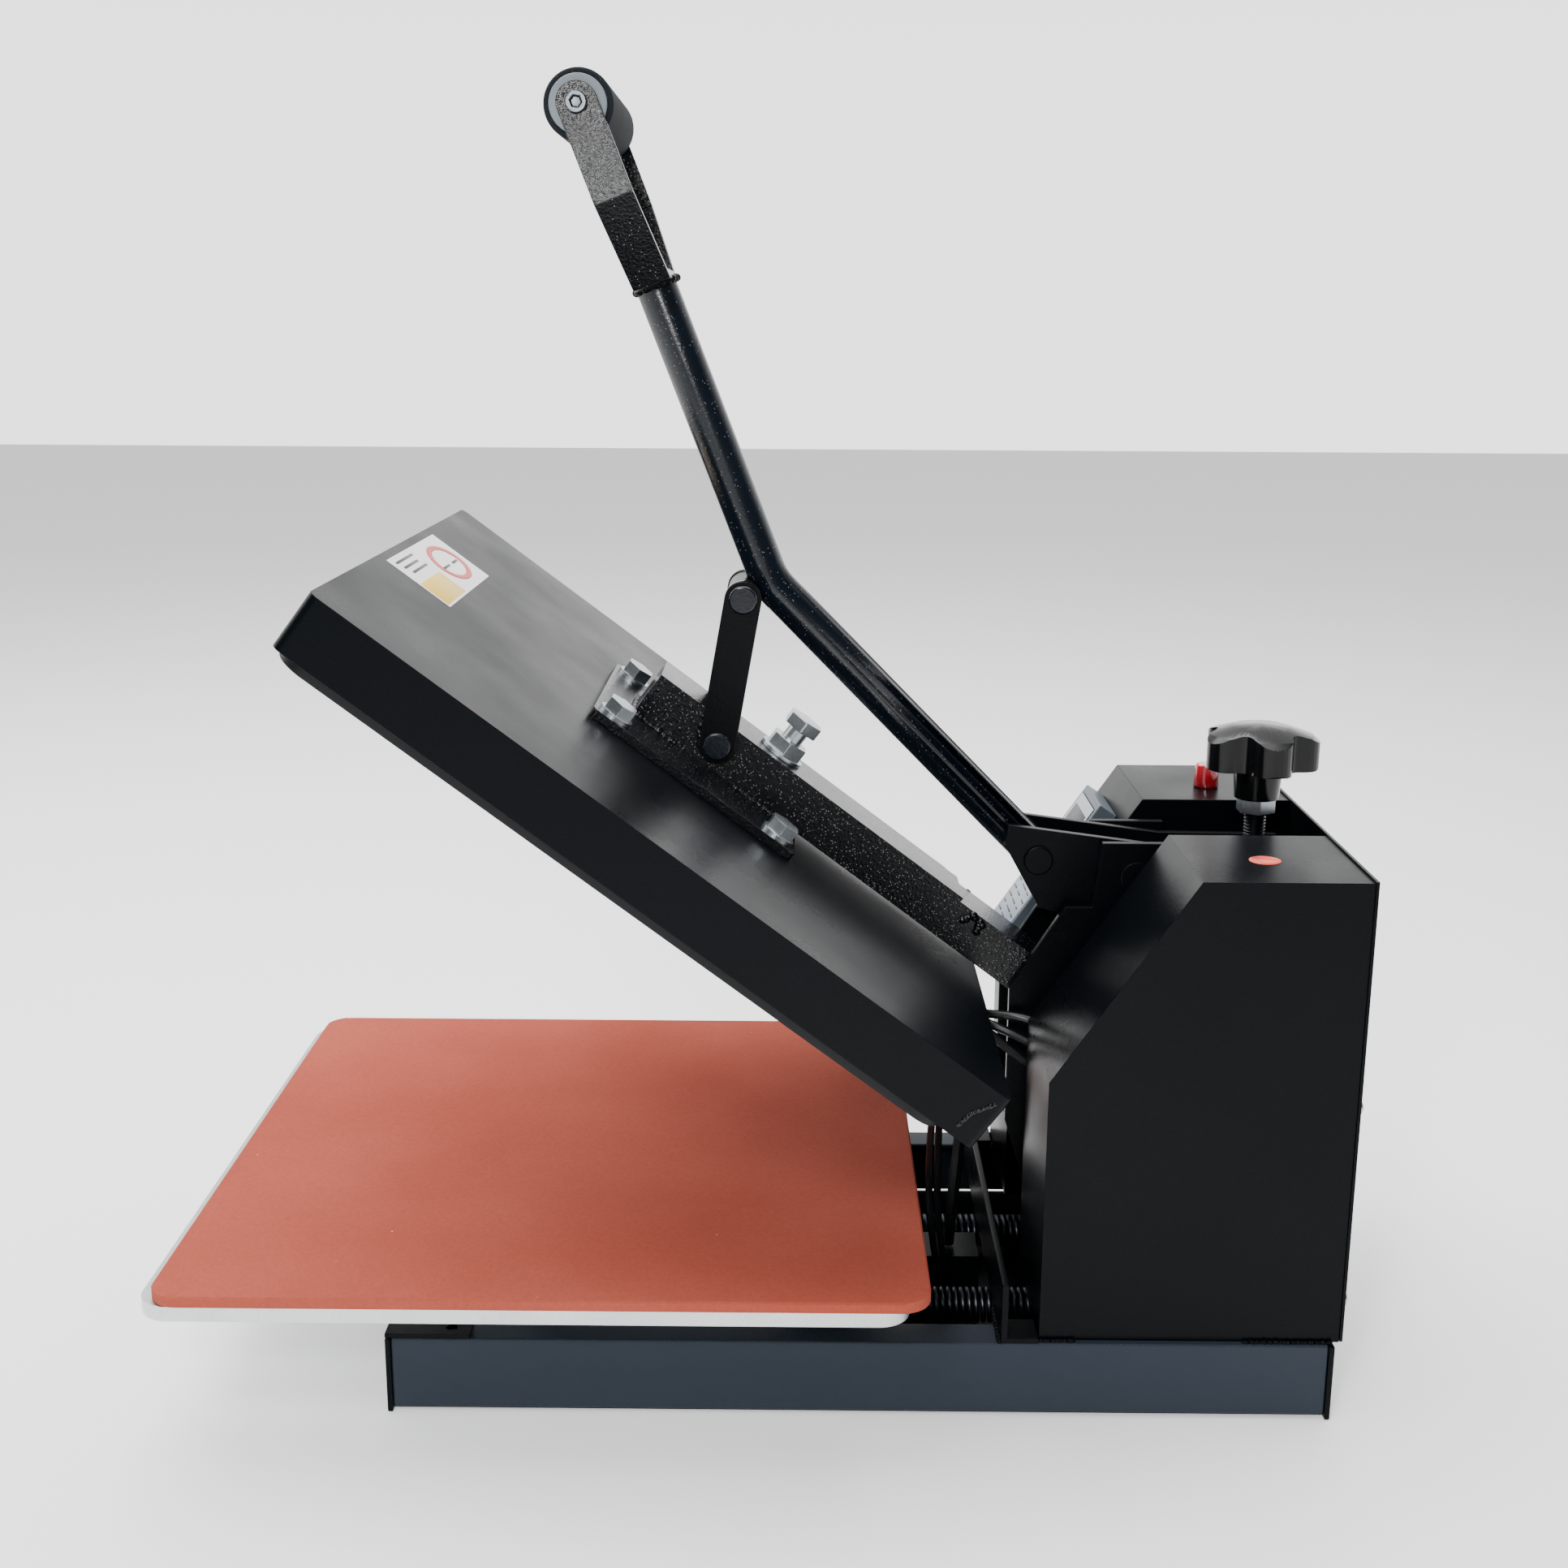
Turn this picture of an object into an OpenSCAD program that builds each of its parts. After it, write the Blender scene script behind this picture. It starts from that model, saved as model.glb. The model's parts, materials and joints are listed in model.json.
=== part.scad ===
// Clamshell flat heat press with a swing-up heated head, a toggle handle and a
// pressure screw. +X is the operator's right, +Y the rear, +Z up. The origin is on
// the floor under the centre of the silicone pad. The head is drawn open.

/* [Platens] */
// Pad length and width
pad_w = 380; // [300:1:450]
// Pad thickness
pad_t = 6; // [4:0.5:12]
// Aluminium platen length and width
platen_w = 376; // [296:1:446]
// Lower platen thickness
platen_t = 8; // [6:0.5:14]
// Height of the pad's top face above the floor
work_z = 96; // [88:1:120]
// Heating plate thickness
heat_t = 12; // [8:0.5:16]

/* [Head] */
// How far the head is swung open
open_angle = 36.87; // [20:0.01:45]
// Head cover width
cover_w = 389; // [310:1:460]
// Head cover length
cover_l = 393; // [310:1:460]
// Head cover height
cover_h = 30; // [24:1:45]
// Lifting arm width
arm_w = 42; // [30:1:46]
// Lifting arm height
arm_h = 26; // [22:1:34]

/* [Base] */
// Base frame width
base_w = 264; // [220:1:320]
// Base frame length
base_l = 490; // [440:1:560]
// Base rail height
base_h = 42; // [36:1:60]
// Height of the cross wall in front of the housings
wall_h = 33; // [20:1:45]

/* [Housings] */
// Width over both housings
house_w = 256; // [220:1:300]
// Gap between the housings
house_gap = 78; // [66:1:100]
// Height of the housings above the base
house_h = 247; // [200:1:300]
// Height of the upright front of the housings
house_front = 142; // [110:1:180]
// Sheet thickness of covers
sheet_t = 1.5; // [1:0.1:3]

/* [Handle] */
// Handle tube diameter
tube_d = 21.5; // [16:0.5:25]
// Lower straight of the handle, pivot to bend
handle_low = 209.5; // [180:0.5:240]
// Upper straight of the handle, bend to fork
handle_up = 164.5; // [120:0.5:220]
// Grip diameter
grip_d = 34; // [28:1:44]
// Grip length
grip_l = 120; // [90:1:160]
// Link thickness
link_t = 5; // [4:0.5:8]

/* [Pressure screw] */
// Star knob diameter
knob_d = 64; // [50:1:80]
// Screw diameter
screw_d = 12; // [10:1:16]

/* [View] */
// Which sub-part to draw

/* [Hidden] */
$fn = 48;

// Pivots in the Y-Z plane
head_y = 316.75;
head_z = 132.25;
rocker_y = 307;
rocker_z = 262;
handle_y = 255;
handle_z = 268.5;
link_top_y = 94;
link_top_z = 411.5;
link_low_y = 80.2;
link_low_z = 333;
head_pin_r = 8;
pin_r = 6;
link_pin_r = 5;
link_r = 9.8;
fit = 0.05;
plate_gap = 0.1;

// Levels
platen_z = work_z - pad_t - platen_t;
cover_z0 = work_z + 6;
cover_z1 = cover_z0 + cover_h;
arm_plate_t = 5;
arm_z0 = cover_z1 + arm_plate_t;
arm_z1 = arm_z0 + arm_h;
beam_w = 30;
beam_z1 = base_h - 12;
spring_z = 16;
spring_y1 = 262;
rod_y = 290;
house_z1 = base_h + house_h;

// Base ends, housings and slope
base_y0 = -88;
base_y1 = base_y0 + base_l;
house_y0 = 250;
house_y1 = 405;
slope_y = 321;
house_z0 = base_h;
slope_z = base_h + house_front;
slope_a = atan2(house_z1 - slope_z, slope_y - house_y0);

// Side spacing of the mechanism
column_in = arm_w / 2 + 1;
column_t = 5;
rocker_in = tube_d / 2 + 2;
rocker_t = 5;
link_in = arm_w / 2 + 1;

// Handle angles from the vertical, leaning to the front
low_lean = 44.57;
up_lean = 21.3;
bend_a = low_lean - up_lean;
bend_r = 40;
bend_t = bend_r * tan(bend_a / 2);
grip_up = 88.8;
grip_x = grip_l / 2 + 2;

// Pressure screw
screw_y = 376;
shelf_z = 244;
nut_z = house_z1 + 3.5;
hub_z = house_z1 + 11.5;
star_z = house_z1 + 29;
knob_h = 24;

lobes = 5;
bolt_r = 5;
bolt_xy = [[-54, -47], [54, -47], [-54, 58], [54, 58]];
gland_x = 28;
post_xy = [[-95, -13], [95, -13]];
button_y = [52, 60.5, 69];
lamp_y = 364;

// A solid profile of the Y-Z plane, extruded along X from x0 over length w
module along_x(x0, w) translate([x0, 0, 0]) rotate([90, 0, 90]) linear_extrude(w) children();

// A round bar along X
module bar_x(x0, w, y, z, r) translate([x0, y, z]) rotate([0, 90, 0]) cylinder(h = w, r = r);

// Places the head's pieces, which are laid out closed, in the open position
module opened() translate([0, head_y, head_z]) rotate([-open_angle, 0, 0])
    translate([0, -head_y, -head_z]) children();

// Lower and upper frames of the handle
module at_handle() translate([0, handle_y, handle_z]) rotate([low_lean, 0, 0]) children();
module at_upper() at_handle() translate([0, bend_r * (1 - cos(bend_a)),
    handle_low - bend_t + bend_r * sin(bend_a)]) rotate([-bend_a, 0, 0]) children();

// Frame on the housing slope: x across, y up the slope, z outwards
module on_slope() translate([0, house_y0, slope_z]) rotate([slope_a, 0, 0]) children();

// Rectangular plate with rounded corners, centred in X, from y0 to y1
module round_plate(w, y0, y1, t, r) linear_extrude(t) difference() {
    translate([-w / 2, y0]) square([w, y1 - y0]);
    for (sx = [-1, 1]) for (sy = [0, 1])
        translate([sx * (w / 2 - r), sy == 0 ? y0 + r : y1 - r]) difference() {
            translate([sx > 0 ? 0 : -r - 1, sy > 0 ? 0 : -r - 1]) square(r + 1);
            circle(r);
        }
}

// Hexagonal prism across flats
module hex(af, h) cylinder(h = h, r = af / sqrt(3), $fn = 6);

// A round bar or cable along route points, as one closed skin with n sides
function unit(v) = v / norm(v);
function tangent(p, i) = unit(i == 0 ? p[1] - p[0]
    : i == len(p) - 1 ? p[i] - p[i - 1] : p[i + 1] - p[i - 1]);
function side(t) = unit(cross(t, abs(t[0]) > 0.9 ? [0, 1, 0] : [1, 0, 0]));
module cable(p, r, n = 8) {
    ring = [for (i = [0:len(p) - 1]) let (t = tangent(p, i), u = side(t), v = cross(t, u))
        for (k = [0:n - 1]) p[i] + r * (cos(k * 360 / n) * u + sin(k * 360 / n) * v)];
    last = (len(p) - 1) * n;
    polyhedron(points = ring, faces = concat(
        [[for (k = [0:n - 1]) k]], [[for (k = [0:n - 1]) last + n - 1 - k]],
        [for (i = [0:len(p) - 2]) for (k = [0:n - 1])
            [i * n + k, (i + 1) * n + k, (i + 1) * n + (k + 1) % n, i * n + (k + 1) % n]]));
}
// Smooth route through four control points
function bez(a, b, c, d, n = 12) = [for (i = [0:n]) let (t = i / n, s = 1 - t)
    s * s * s * a + 3 * s * s * t * b + 3 * s * t * t * c + t * t * t * d];

// ---- Base frame ----

module side_rails() color("#2b3440") for (s = [-1, 1])
    difference() {
        translate([s > 0 ? base_w / 2 - 20 : -base_w / 2, base_y0 + 3, 2.5])
            cube([20, base_l - 6, base_h - 2.5]);
        translate([s > 0 ? base_w / 2 - 21 : -base_w / 2 + 3, base_y0 + 2, 1])
            cube([18, base_l - 4, base_h - 4]);
    }

module end_plate(y, inward) {
    translate([-base_w / 2 - 1, y, 0]) cube([base_w + 2, 3, base_h]);
    translate([-base_w / 2 + 20, inward > 0 ? y + 3 : y - 22, base_h - 3])
        cube([base_w - 40, 22, 3]);
}
module end_plates() color("#20262c") {
    end_plate(base_y0, 1);
    end_plate(base_y1 - 3, -1);
}

module corner_flanges() color("#262c32") for (s = [-1, 1])
    difference() {
        translate([s > 0 ? base_w / 2 - 35 : -base_w / 2, base_y0, base_h]) cube([35, 44, 2.5]);
        translate([s > 0 ? base_w / 2 - 36 : -base_w / 2 + 14, base_y0 + 14, base_h - 1])
            cube([22, 31, 5]);
        translate([s * (base_w / 2 - 7), base_y0 + 34, base_h - 4]) cylinder(h = 8, r = 3);
    }

// The middle beam and the thin sheet that closes the base below
module centre_beam() color("#1c2126") difference() {
    union() {
        translate([-beam_w / 2, base_y0 + 3, 0]) cube([beam_w, 315, beam_z1]);
        translate([-base_w / 2 + 3.2, base_y0 + 3, 0.5])
            cube([base_w - 6.4, base_l - 6, sheet_t]);
    }
    translate([-beam_w / 2 + 2.5, base_y0 + 2, 2.5]) cube([beam_w - 5, 317, beam_z1 - 5]);
}

module platen_supports() color("#1c2126") {
    difference() {
        translate([-base_w / 2 + 20, -38, beam_z1]) cube([base_w - 40, 50, base_h - beam_z1]);
        translate([-base_w / 2 + 19, -35, beam_z1 - 1])
            cube([base_w - 38, 44, base_h - beam_z1 - 2]);
        for (p = post_xy) translate([p[0], p[1], base_h - 5]) cylinder(h = 8, r = 4.2);
    }
    difference() {
        translate([-beam_w / 2, 118, beam_z1]) cube([beam_w, 50, platen_z - beam_z1]);
        translate([-beam_w / 2 + 3, 121, beam_z1 - 1])
            cube([beam_w - 6, 44, platen_z - beam_z1 - 4]);
        translate([0, 143, platen_z - 8]) cylinder(h = 10, r = 4.2);
    }
}

module cross_wall() color("#20262c") {
    translate([-base_w / 2, 230, base_h]) cube([base_w, 3.5, wall_h]);
    for (s = [-1, 1]) translate([s > 0 ? base_w / 2 - 20 : -base_w / 2, 233.5, base_h])
        cube([20, 16, 3]);
}

module platen_posts() color("#b9bcbe") for (p = post_xy) difference() {
    translate([p[0], p[1], base_h]) cylinder(h = platen_z - base_h, r = 11);
    translate([p[0], p[1], base_h - 1]) cylinder(h = platen_z - base_h + 2, r = 4.2);
}

module lower_platen() color("#c9cbcc") difference() {
    translate([0, 0, platen_z]) round_plate(platen_w, -196, -196 + platen_w, platen_t, 16);
    for (p = concat(post_xy, [[0, 143]]))
        translate([p[0], p[1], platen_z - 1]) cylinder(h = 6, r = 4);
}

module platen_bolts() color("#b9bcbe") for (p = concat(post_xy, [[0, 143]])) {
    z0 = p[1] > 0 ? platen_z - 16 : base_h - 9;
    z1 = p[1] > 0 ? platen_z - 5 : base_h - 3;
    translate([p[0], p[1], z0]) cylinder(h = platen_z + 4.5 - z0, r = 4);
    translate([p[0], p[1], z1 - 5.5]) hex(13, 5.5);
}

module silicone_pad() color("#b8604f") translate([0, 0, work_z - pad_t])
    round_plate(pad_w, -pad_w / 2, pad_w / 2, pad_t, 16);

module spring_anchors() color("#b9bcbe") {
    for (s = [-1, 1]) translate([s * 45, base_y0 + 3, spring_z]) rotate([-90, 0, 0])
        cylinder(h = 12, r = 3);
    bar_x(-base_w / 2 + 3, base_w - 6, rod_y, spring_z, 5);
}

module lift_spring(x) {
    difference() {
        translate([x, -58, spring_z]) rotate([-90, 0, 0]) cylinder(h = spring_y1 + 58, r = 10);
        translate([x, -59, spring_z]) rotate([-90, 0, 0]) cylinder(h = spring_y1 + 60, r = 6.8);
    }
    translate([x, base_y0 + 15, spring_z]) rotate([-90, 0, 0]) cylinder(h = 16, r = 1.6);
    translate([x, spring_y1 - 1, spring_z]) rotate([-90, 0, 0])
        cylinder(h = rod_y - 5 - spring_y1 + 1, r = 1.6);
}
module lift_springs() color("#23282c") for (s = [-1, 1]) lift_spring(s * 45);

// ---- Column between the housings ----

module column_plate(x0) difference() {
    along_x(x0, column_t) polygon([[262, base_h], [250.9, 87.7], [240.6, 120], [240.6, 198],
        [269.6, 244.6], [284, 244.6], [288.4, 280.6], [330, 280.6], [330, 262],
        [396, 262], [396, base_h]]);
    bar_x(x0 - 1, column_t + 2, head_y, head_z, head_pin_r);
    bar_x(x0 - 1, column_t + 2, rocker_y, rocker_z, pin_r);
}
module column_plates() color("#181d21") {
    column_plate(column_in);
    column_plate(-column_in - column_t);
}

module column_web() color("#181d21") {
    translate([-column_in, 392, base_h]) cube([2 * column_in, 4, 190]);
    translate([-column_in, 352, shelf_z - 8]) cube([2 * column_in, 44, 8]);
    translate([-column_in, 275, base_h]) cube([2 * column_in, 60, 5]);
}

module head_hinge_pin() color("#30363b") {
    w = column_in + column_t;
    bar_x(-w, 2 * w, head_y, head_z, head_pin_r);
    for (s = [-1, 1]) bar_x(s > 0 ? w : -w - 4, 4, head_y, head_z, 12);
}

module rocker_pin() color("#30363b") {
    w = column_in + column_t;
    bar_x(-w, 2 * w, rocker_y, rocker_z, pin_r);
    for (s = [-1, 1]) bar_x(s > 0 ? w : -w - 3, 3, rocker_y, rocker_z, 9);
}

// ---- Housings and what they carry ----

module housing_shape(d) polygon([[house_y0 + d, house_z0 - (d > 0 ? 1 : 0)],
    [house_y0 + d, slope_z - d * 0.55], [slope_y + d * 0.55, house_z1 - d],
    [house_y1 + (d > 0 ? 1 : 0), house_z1 - d],
    [house_y1 + (d > 0 ? 1 : 0), house_z0 - (d > 0 ? 1 : 0)]]);

module housing(x0) {
    w = (house_w - house_gap) / 2;
    difference() {
        along_x(x0, w) housing_shape(0);
        along_x(x0 + sheet_t, w - 2 * sheet_t) housing_shape(sheet_t);
        if (x0 > 0) for (z = [152, 166, 180]) bar_x(x0 - 1, 4, 262, z, 4);
        if (x0 < 0) {
            on_slope() translate([-104, 12, -3]) cube([36, 84, 6]);
            translate([-72, lamp_y, house_z1 - 3]) cylinder(h = 6, r = 5);
        }
    }
}
module housing_right() color("#1b1f23") housing(house_gap / 2);
module housing_left() color("#1b1f23") housing(-house_w / 2);

rear_screw_xz = [[-118, 282], [118, 282], [-122, 64], [122, 64], [-122, 170], [122, 170]];
module rear_panel() color("#1b1f23") difference() {
    translate([-house_w / 2 - 1, house_y1, base_h + 1]) cube([house_w + 2, sheet_t, house_h]);
    for (p = rear_screw_xz) translate([p[0], house_y1 - 1, p[1]]) rotate([-90, 0, 0])
        cylinder(h = 5, r = 2);
    for (x = [-92:12:-44]) translate([x, house_y1 - 1, 120]) cube([4, 5, 60]);
    translate([74, house_y1 - 1, 78]) cube([28, 5, 22]);
    translate([78, house_y1 - 1, 122]) cube([20, 5, 13]);
    translate([88, house_y1 - 1, 160]) rotate([-90, 0, 0]) cylinder(h = 5, r = 6);
}

module rear_screws() color("#b9bcbe") for (p = rear_screw_xz)
    translate([p[0], house_y1 - 6, p[1]]) rotate([-90, 0, 0]) {
        cylinder(h = 6 + sheet_t, r = 2);
        translate([0, 0, 6 + sheet_t]) cylinder(h = 2.4, r1 = 4.2, r2 = 3);
    }

module round_label() color("#e8503a") translate([88, 360.5, house_z1])
    cylinder(h = 0.2, r = 8);

module controller_case() color("#454d55") on_slope() difference() {
    translate([-112, 3, 0]) cube([52, 105, 12]);
    translate([-104, 12, -1]) cube([36, 84, 3]);
    translate([-108, 76, 10.5]) cube([44, 27, 3]);
    for (y = button_y) translate([-86, y, 8]) cylinder(h = 6, r = 3.3);
}

module controller_window() color("#8b98a8") on_slope()
    translate([-108, 76, 10.5]) cube([44, 27, 2]);

module controller_button(i) on_slope() translate([-86, button_y[i], 9.5])
    cylinder(h = 4, r = 2.9);
module controller_button_a() color("#c9cdd2") controller_button(0);
module controller_button_b() color("#c9cdd2") controller_button(1);
module controller_button_c() color("#c9cdd2") controller_button(2);

module indicator_lamp() color("#c01622") translate([-72, lamp_y, house_z1]) {
    cylinder(h = 14, r1 = 7.5, r2 = 6.5);
    translate([0, 0, -16]) cylinder(h = 16, r = 5);
}

module power_inlet() color("#141618") difference() {
    union() {
        translate([74, house_y1 - 22, 78]) cube([28, 22 + sheet_t, 22]);
        translate([70, house_y1 + sheet_t, 74]) cube([36, 3, 30]);
    }
    translate([76.5, house_y1 - 14, 80]) cube([23, 22, 18]);
}

module power_switch_frame() color("#141618") difference() {
    union() {
        translate([78, house_y1 - 14, 122]) cube([20, 14 + sheet_t, 13]);
        translate([75, house_y1 + sheet_t, 119]) cube([26, 2, 19]);
    }
    translate([79.5, house_y1 - 12, 123.5]) cube([17, 20, 10]);
}

module power_switch() color("#b3202a") difference() {
    translate([0, house_y1 - 2, 128.5]) along_x(80, 16)
        polygon([[-5, -3.5], [5.5, -3.9], [7.2, 3.9], [-5, 3.5]]);
    bar_x(79, 18, house_y1 - 1, 128.5, 1);
}

module fuse_holder() color("#141618") translate([88, house_y1, 160]) rotate([-90, 0, 0]) {
    translate([0, 0, -24]) cylinder(h = 24 + sheet_t, r = 6);
    translate([0, 0, sheet_t]) cylinder(h = 7, r1 = 8, r2 = 7);
}

module relay() color("#d8d5c8") translate([110, 300, 70]) {
    cube([16.5, 46, 58]);
}

// Cables from the gland at the head's rear into the right housing
module head_cables() color("#101214") for (i = [0:2]) {
    a = [gland_x - 6 + 6 * i, 216.7, 184.45];
    b = [37, 262, 180 - 14 * i];
    cable(concat(bez(a, a + [0, 8, -6], b + [-3 + i, -24, 8 + 4 * i], b + [-1, -6, 1]),
        [b, b + [12, 1, 0]]), 2.6);
}

// Cables that drop from the head's rear into the base
module drop_cables() color("#101214") {
    cable(bez([58, 196, 168], [60, 202, 140], [56, 190, 108], [40, 204, 36], 14), 2);
    cable(bez([50, 197, 168], [50, 208, 138], [50, 196, 104], [32, 208, 36], 14), 2);
    cable(bez([2, 210, 170], [2, 226, 130], [2, 216, 90], [2, 213, 31.5], 12), 3.4);
}

// ---- Head, laid out closed ----

module head_cover() color("#16191c") opened() difference() {
    translate([0, 0, cover_z0]) round_plate(cover_w, 201 - cover_l, 201, cover_h, 5);
    translate([0, 0, cover_z0 - 1]) round_plate(cover_w - 2 * sheet_t,
        201 - cover_l + sheet_t, 201 - sheet_t, cover_h - sheet_t + 1, 4);
    for (p = bolt_xy) translate([p[0], p[1], cover_z1 - 5]) cylinder(h = 10, r = bolt_r + 0.5);
    translate([0, 40, cover_z1 - 5]) cylinder(h = 10, r = 6.6);
    translate([gland_x, 205, cover_z0 + 12]) rotate([90, 0, 0]) cylinder(h = 10, r = 5.5);
}

module heating_plate() color("#c3c5c6") opened() difference() {
    translate([0, 0, work_z + plate_gap])
        round_plate(platen_w, -190, -190 + platen_w, heat_t - plate_gap, 16);
    for (p = bolt_xy) translate([p[0], p[1], work_z + 5]) cylinder(h = 10, r = bolt_r);
}

module heating_element() color("#8d8f90") opened()
    translate([0, 0, work_z + heat_t]) difference() {
        round_plate(300, -150, 148, 6, 40);
        translate([0, 0, -1]) round_plate(276, -138, 136, 8, 30);
    }

module insulation_board() color("#d9d2bd") opened() difference() {
    translate([-184, -182, work_z + heat_t + 6.3]) cube([368, 362, 6]);
    for (p = bolt_xy) translate([p[0], p[1], work_z]) cylinder(h = 40, r = bolt_r + 2);
    translate([0, 40, work_z]) cylinder(h = 40, r = 12);
}

module arm_plate() color("#1b1f23") opened() difference() {
    translate([0, 0, cover_z1]) round_plate(132, -59, 70, arm_plate_t, 3);
    for (p = bolt_xy) translate([p[0], p[1], cover_z1 - 1]) cylinder(h = 10, r = bolt_r + 0.5);
    translate([0, 40, cover_z1 - 1]) cylinder(h = 10, r = 6.6);
}

module arm_plate_bolts() color("#b9bcbe") opened() for (p = bolt_xy)
    translate([p[0], p[1], work_z + 5.5]) {
        cylinder(h = arm_z0 - work_z - 5.5, r = bolt_r);
        translate([0, 0, arm_z0 - work_z - 5.5]) {
            cylinder(h = 2, r = 9.5);
            translate([0, 0, 2]) hex(15, 6.5);
        }
    }

module lifting_arm() color("#181c20") opened() difference() {
    translate([-arm_w / 2, -39, arm_z0]) cube([arm_w, 374, arm_h]);
    translate([-arm_w / 2 + 2.5, -36, arm_z0 + 2.5]) cube([arm_w - 5, 372, arm_h - 7.5]);
    translate([-arm_w, 166, arm_z1 - 2.5]) cube([2 * arm_w, 178, 4]);
    translate([0, 40, arm_z0 - 1]) cylinder(h = arm_h + 2, r = 6.6);
    bar_x(-arm_w, 2 * arm_w, head_y, head_z, 13);
}

module arm_hinge() color("#181c20") opened() {
    difference() {
        bar_x(-arm_w / 2, arm_w, head_y, head_z, 13);
        bar_x(-arm_w, 2 * arm_w, head_y, head_z, head_pin_r + fit);
    }
    for (s = [-1, 1]) difference() {
        along_x(s > 0 ? arm_w / 2 - 7 : -arm_w / 2 + 2, 5)
            polygon([[250, arm_z0], [262, 118], [330, 118], [335, arm_z0]]);
        bar_x(-arm_w, 2 * arm_w, head_y, head_z, 12.9);
    }
}

module centre_bolt() color("#b9bcbe") opened() translate([0, 40, 120]) {
    cylinder(h = arm_z1 + 17.5 - 120, r = 6);
    translate([0, 0, arm_z1 + 17.5 - 120]) hex(19, 7);
    translate([0, 0, -2]) hex(18, 7);
}
module centre_nut() color("#b9bcbe") opened() translate([0, 40, arm_z1]) difference() {
    union() {
        cylinder(h = 2.5, r = 13);
        translate([0, 0, 2.5]) hex(20, 7.5);
    }
    translate([0, 0, -1]) cylinder(h = 15, r = 6);
}

module caution_label() color("#f2f2f0") opened()
    translate([-70, -187, cover_z1]) cube([124, 39.5, 0.2]);

module cable_gland() color("#101214") opened() {
    translate([gland_x, 201 - sheet_t - 3, cover_z0 + 12]) rotate([-90, 0, 0]) {
        cylinder(h = 3 + sheet_t, r = 5.5);
        translate([0, 0, 3 + sheet_t]) cylinder(h = 4, r = 11);
    }
}

// ---- Rocker, screw, handle and links ----

module rocker_plate(x0) difference() {
    along_x(x0, rocker_t) polygon([[238, 288], [236.5, 277], [256.5, 241], [275, 236],
        [330, 252], [392, 252], [392, 276], [326, 276.5]]);
    bar_x(x0 - 1, rocker_t + 2, rocker_y, rocker_z, pin_r + fit);
    bar_x(x0 - 1, rocker_t + 2, handle_y, handle_z, link_pin_r);
}
module rocker_plates() color("#14181b") {
    rocker_plate(rocker_in);
    rocker_plate(-rocker_in - rocker_t);
}

module rocker_nut_bar() color("#202529") difference() {
    translate([-rocker_in, screw_y - 11, 256]) cube([2 * rocker_in, 22, 16]);
    translate([0, screw_y, 250]) cylinder(h = 30, r = screw_d / 2 + fit);
}

module handle_pivot_pin() color("#262c31") {
    w = rocker_in + rocker_t;
    bar_x(-w, 2 * w, handle_y, handle_z, link_pin_r);
    for (s = [-1, 1]) bar_x(s > 0 ? w : -w - 2, 2, handle_y, handle_z, 8);
}

module pressure_screw() color("#a9adb0") translate([0, screw_y, shelf_z + 0.3])
    cylinder(h = star_z - shelf_z - 4, r = screw_d / 2);

module lock_nut() color("#b9bcbe") translate([0, screw_y, nut_z]) difference() {
    hex(19, hub_z - nut_z);
    translate([0, 0, -1]) cylinder(h = 12, r = screw_d / 2);
}

module star_knob() color("#101214") difference() {
    translate([0, screw_y, 0]) {
        translate([0, 0, hub_z]) cylinder(h = star_z - hub_z + 2, r1 = 12, r2 = 13.5);
        intersection() {
            translate([0, 0, star_z]) linear_extrude(knob_h) star();
            rotate_extrude() polygon([[0, star_z - 1], [knob_d * 0.46, star_z - 1],
                [knob_d * 0.52, star_z + 2], [knob_d * 0.52, star_z + 14],
                [knob_d * 0.44, star_z + 18.5], [knob_d * 0.25, star_z + 22.5],
                [0, star_z + knob_h]]);
        }
    }
    translate([0, screw_y, hub_z - 1])
        cylinder(h = star_z - 3.7 - hub_z + 1, r = screw_d / 2);
}
module star() offset(r = 5, $fn = 24) offset(r = -5, $fn = 24) offset(r = -6, $fn = 24)
    offset(r = 6, $fn = 24) {
        circle(r = knob_d * 0.34);
        for (i = [0:lobes - 1]) rotate(i * 360 / lobes + 5) translate([knob_d * 0.33, 0])
            circle(r = knob_d * 0.17);
    }

handle_dir = [0, -sin(low_lean), cos(low_lean)];
upper_dir = [0, -sin(up_lean), cos(up_lean)];
bend_0 = [0, handle_y, handle_z] + (handle_low - bend_t) * handle_dir;
bend_c = bend_0 + bend_r * [0, cos(low_lean), sin(low_lean)];
bend_path = [for (i = [0:6]) let (a = low_lean - i * bend_a / 6)
    bend_c - bend_r * [0, cos(a), sin(a)]];
module handle_tube() color("#14181b") difference() {
    cable(concat([[0, handle_y, handle_z]], bend_path,
        [bend_path[6] + (handle_up - bend_t) * upper_dir]), tube_d / 2, 32);
    at_handle() cylinder(h = handle_low - bend_t - 2, r = tube_d / 2 - 2);
    at_upper() translate([0, 0, 2]) cylinder(h = handle_up, r = tube_d / 2 - 2);
    bar_x(-30, 60, handle_y, handle_z, 12);
    bar_x(-30, 60, link_top_y, link_top_z, 9);
}

module cross_sleeve(w, y, z, r) difference() {
    bar_x(-w / 2, w, y, z, r);
    bar_x(-w, 2 * w, y, z, link_pin_r + fit);
}
module handle_sleeves() color("#14181b") {
    cross_sleeve(2 * rocker_in - 0.8, handle_y, handle_z, 12);
    cross_sleeve(2 * link_in - 0.8, link_top_y, link_top_z, 9);
}

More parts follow.
